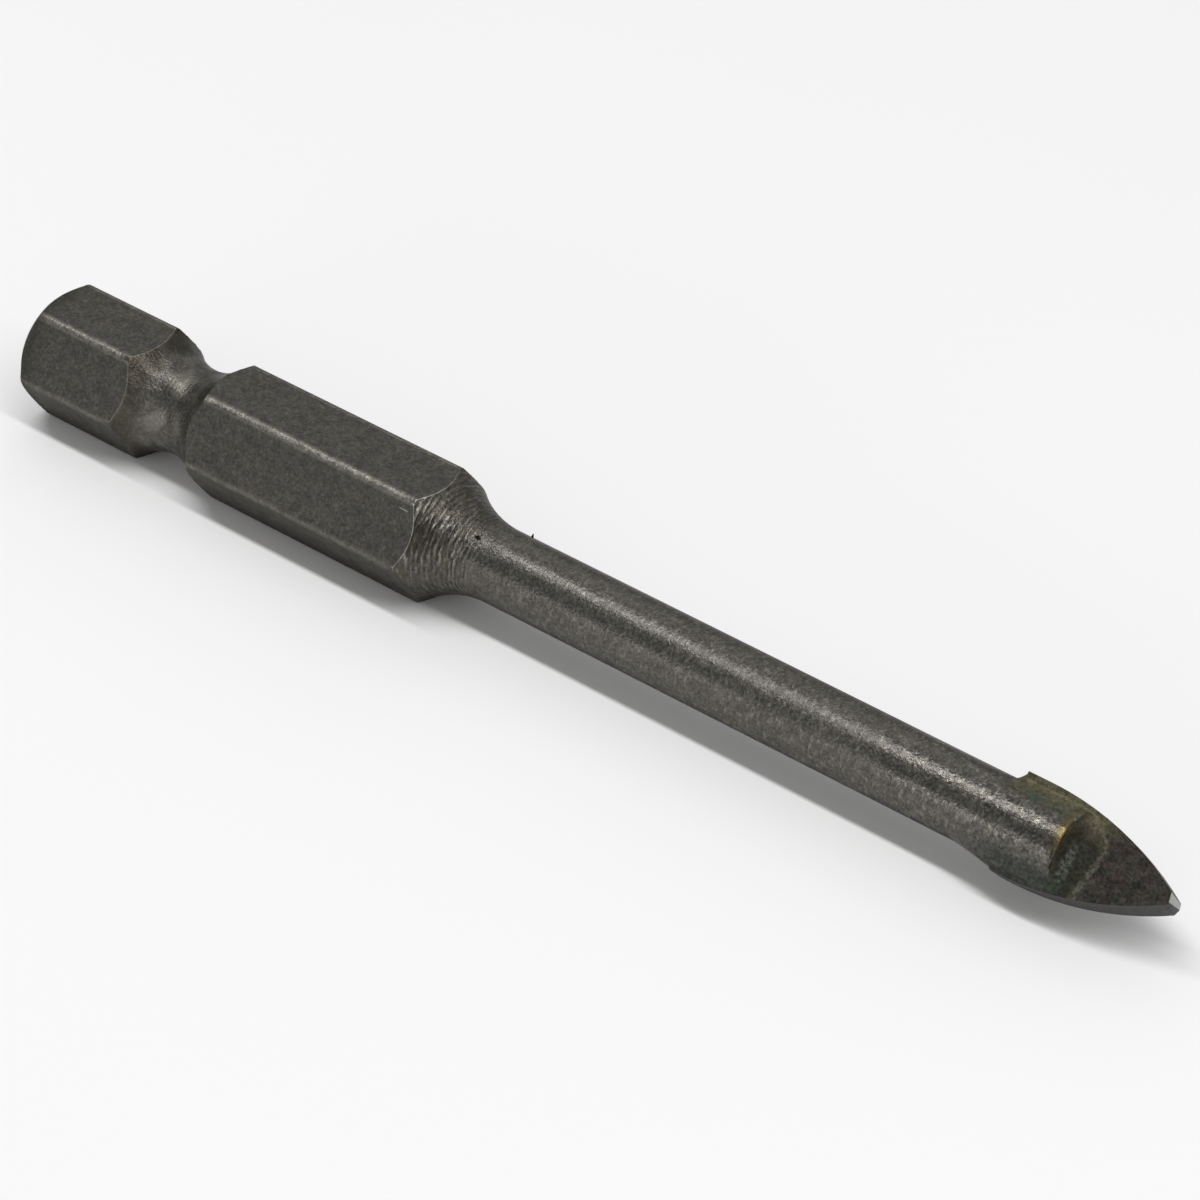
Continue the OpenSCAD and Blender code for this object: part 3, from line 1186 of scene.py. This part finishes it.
def white_sheet():
    sheet = Surface("white_sheet")
    weave = sheet.noise(sheet.in_frame().vector, sheet_scale)
    return sheet.finish(
        Base_Color=sheet.blend(weave, *sheet_shades), Roughness=sheet_rough, Specular_IOR_Level=sheet_shine)


bm = bmesh.new()
bmesh.ops.create_grid(bm, x_segments=1, y_segments=1, size=floor_size / 2 / MM)
bmesh.ops.translate(bm, vec=(0, 0, -hex_half), verts=bm.verts)
floor = add_piece("floor", bm, white_sheet())

# Light: a long soft box that hangs level overhead, white cards low in front and behind, and an
# even white room.
room_level = 0.39
bit_middle = Vector((0.035, 0, 0))
world = bpy.data.worlds.new("room")
bpy.context.scene.world = world
world.use_nodes = True
world.node_tree.nodes["Background"].inputs["Color"].default_value = (1, 1, 1, 1)
world.node_tree.nodes["Background"].inputs["Strength"].default_value = room_level


def soft_box(name, place, long, wide, power):
    """A soft lamp that faces the middle of the bit, with its long side level."""
    lamp = bpy.data.lights.new(name, "AREA")
    lamp.shape = "RECTANGLE"
    lamp.size = long
    lamp.size_y = wide
    lamp.energy = power
    box = bpy.data.objects.new(name, lamp)
    box.location = place
    box.rotation_euler = (bit_middle - box.location).to_track_quat("-Z", "Y").to_euler()
    bpy.context.collection.objects.link(box)
    return box


overhead = soft_box("overhead", place=(0.185, -0.055, 0.45), long=1.0, wide=0.042, power=1.9)
overhead.rotation_euler = (0, 0, 0)
soft_box("front_card", place=(-0.06, -0.425, 0.095), long=0.3, wide=0.045, power=0.2)
soft_box("back_card", place=(-0.215, 0.305, 0.31), long=0.5, wide=0.35, power=0.29)

# Camera: a long lens that looks down on the bit from the side of its point, as in the photograph.
camera_place = Vector((149.99, -139.92, 141.76)) * MM
camera_aim = Vector((36.18, 0, 0.97)) * MM
camera_data = bpy.data.cameras.new("camera")
camera_data.sensor_width = 36
camera_data.lens = 142.47
camera_data.clip_start = 0.01
camera_data.clip_end = 20
camera = bpy.data.objects.new("camera", camera_data)
camera.location = camera_place
camera.rotation_euler = (camera_aim - camera_place).to_track_quat("-Z", "Y").to_euler()
bpy.context.collection.objects.link(camera)
bpy.context.scene.camera = camera
bpy.context.scene.view_settings.view_transform = "Standard"
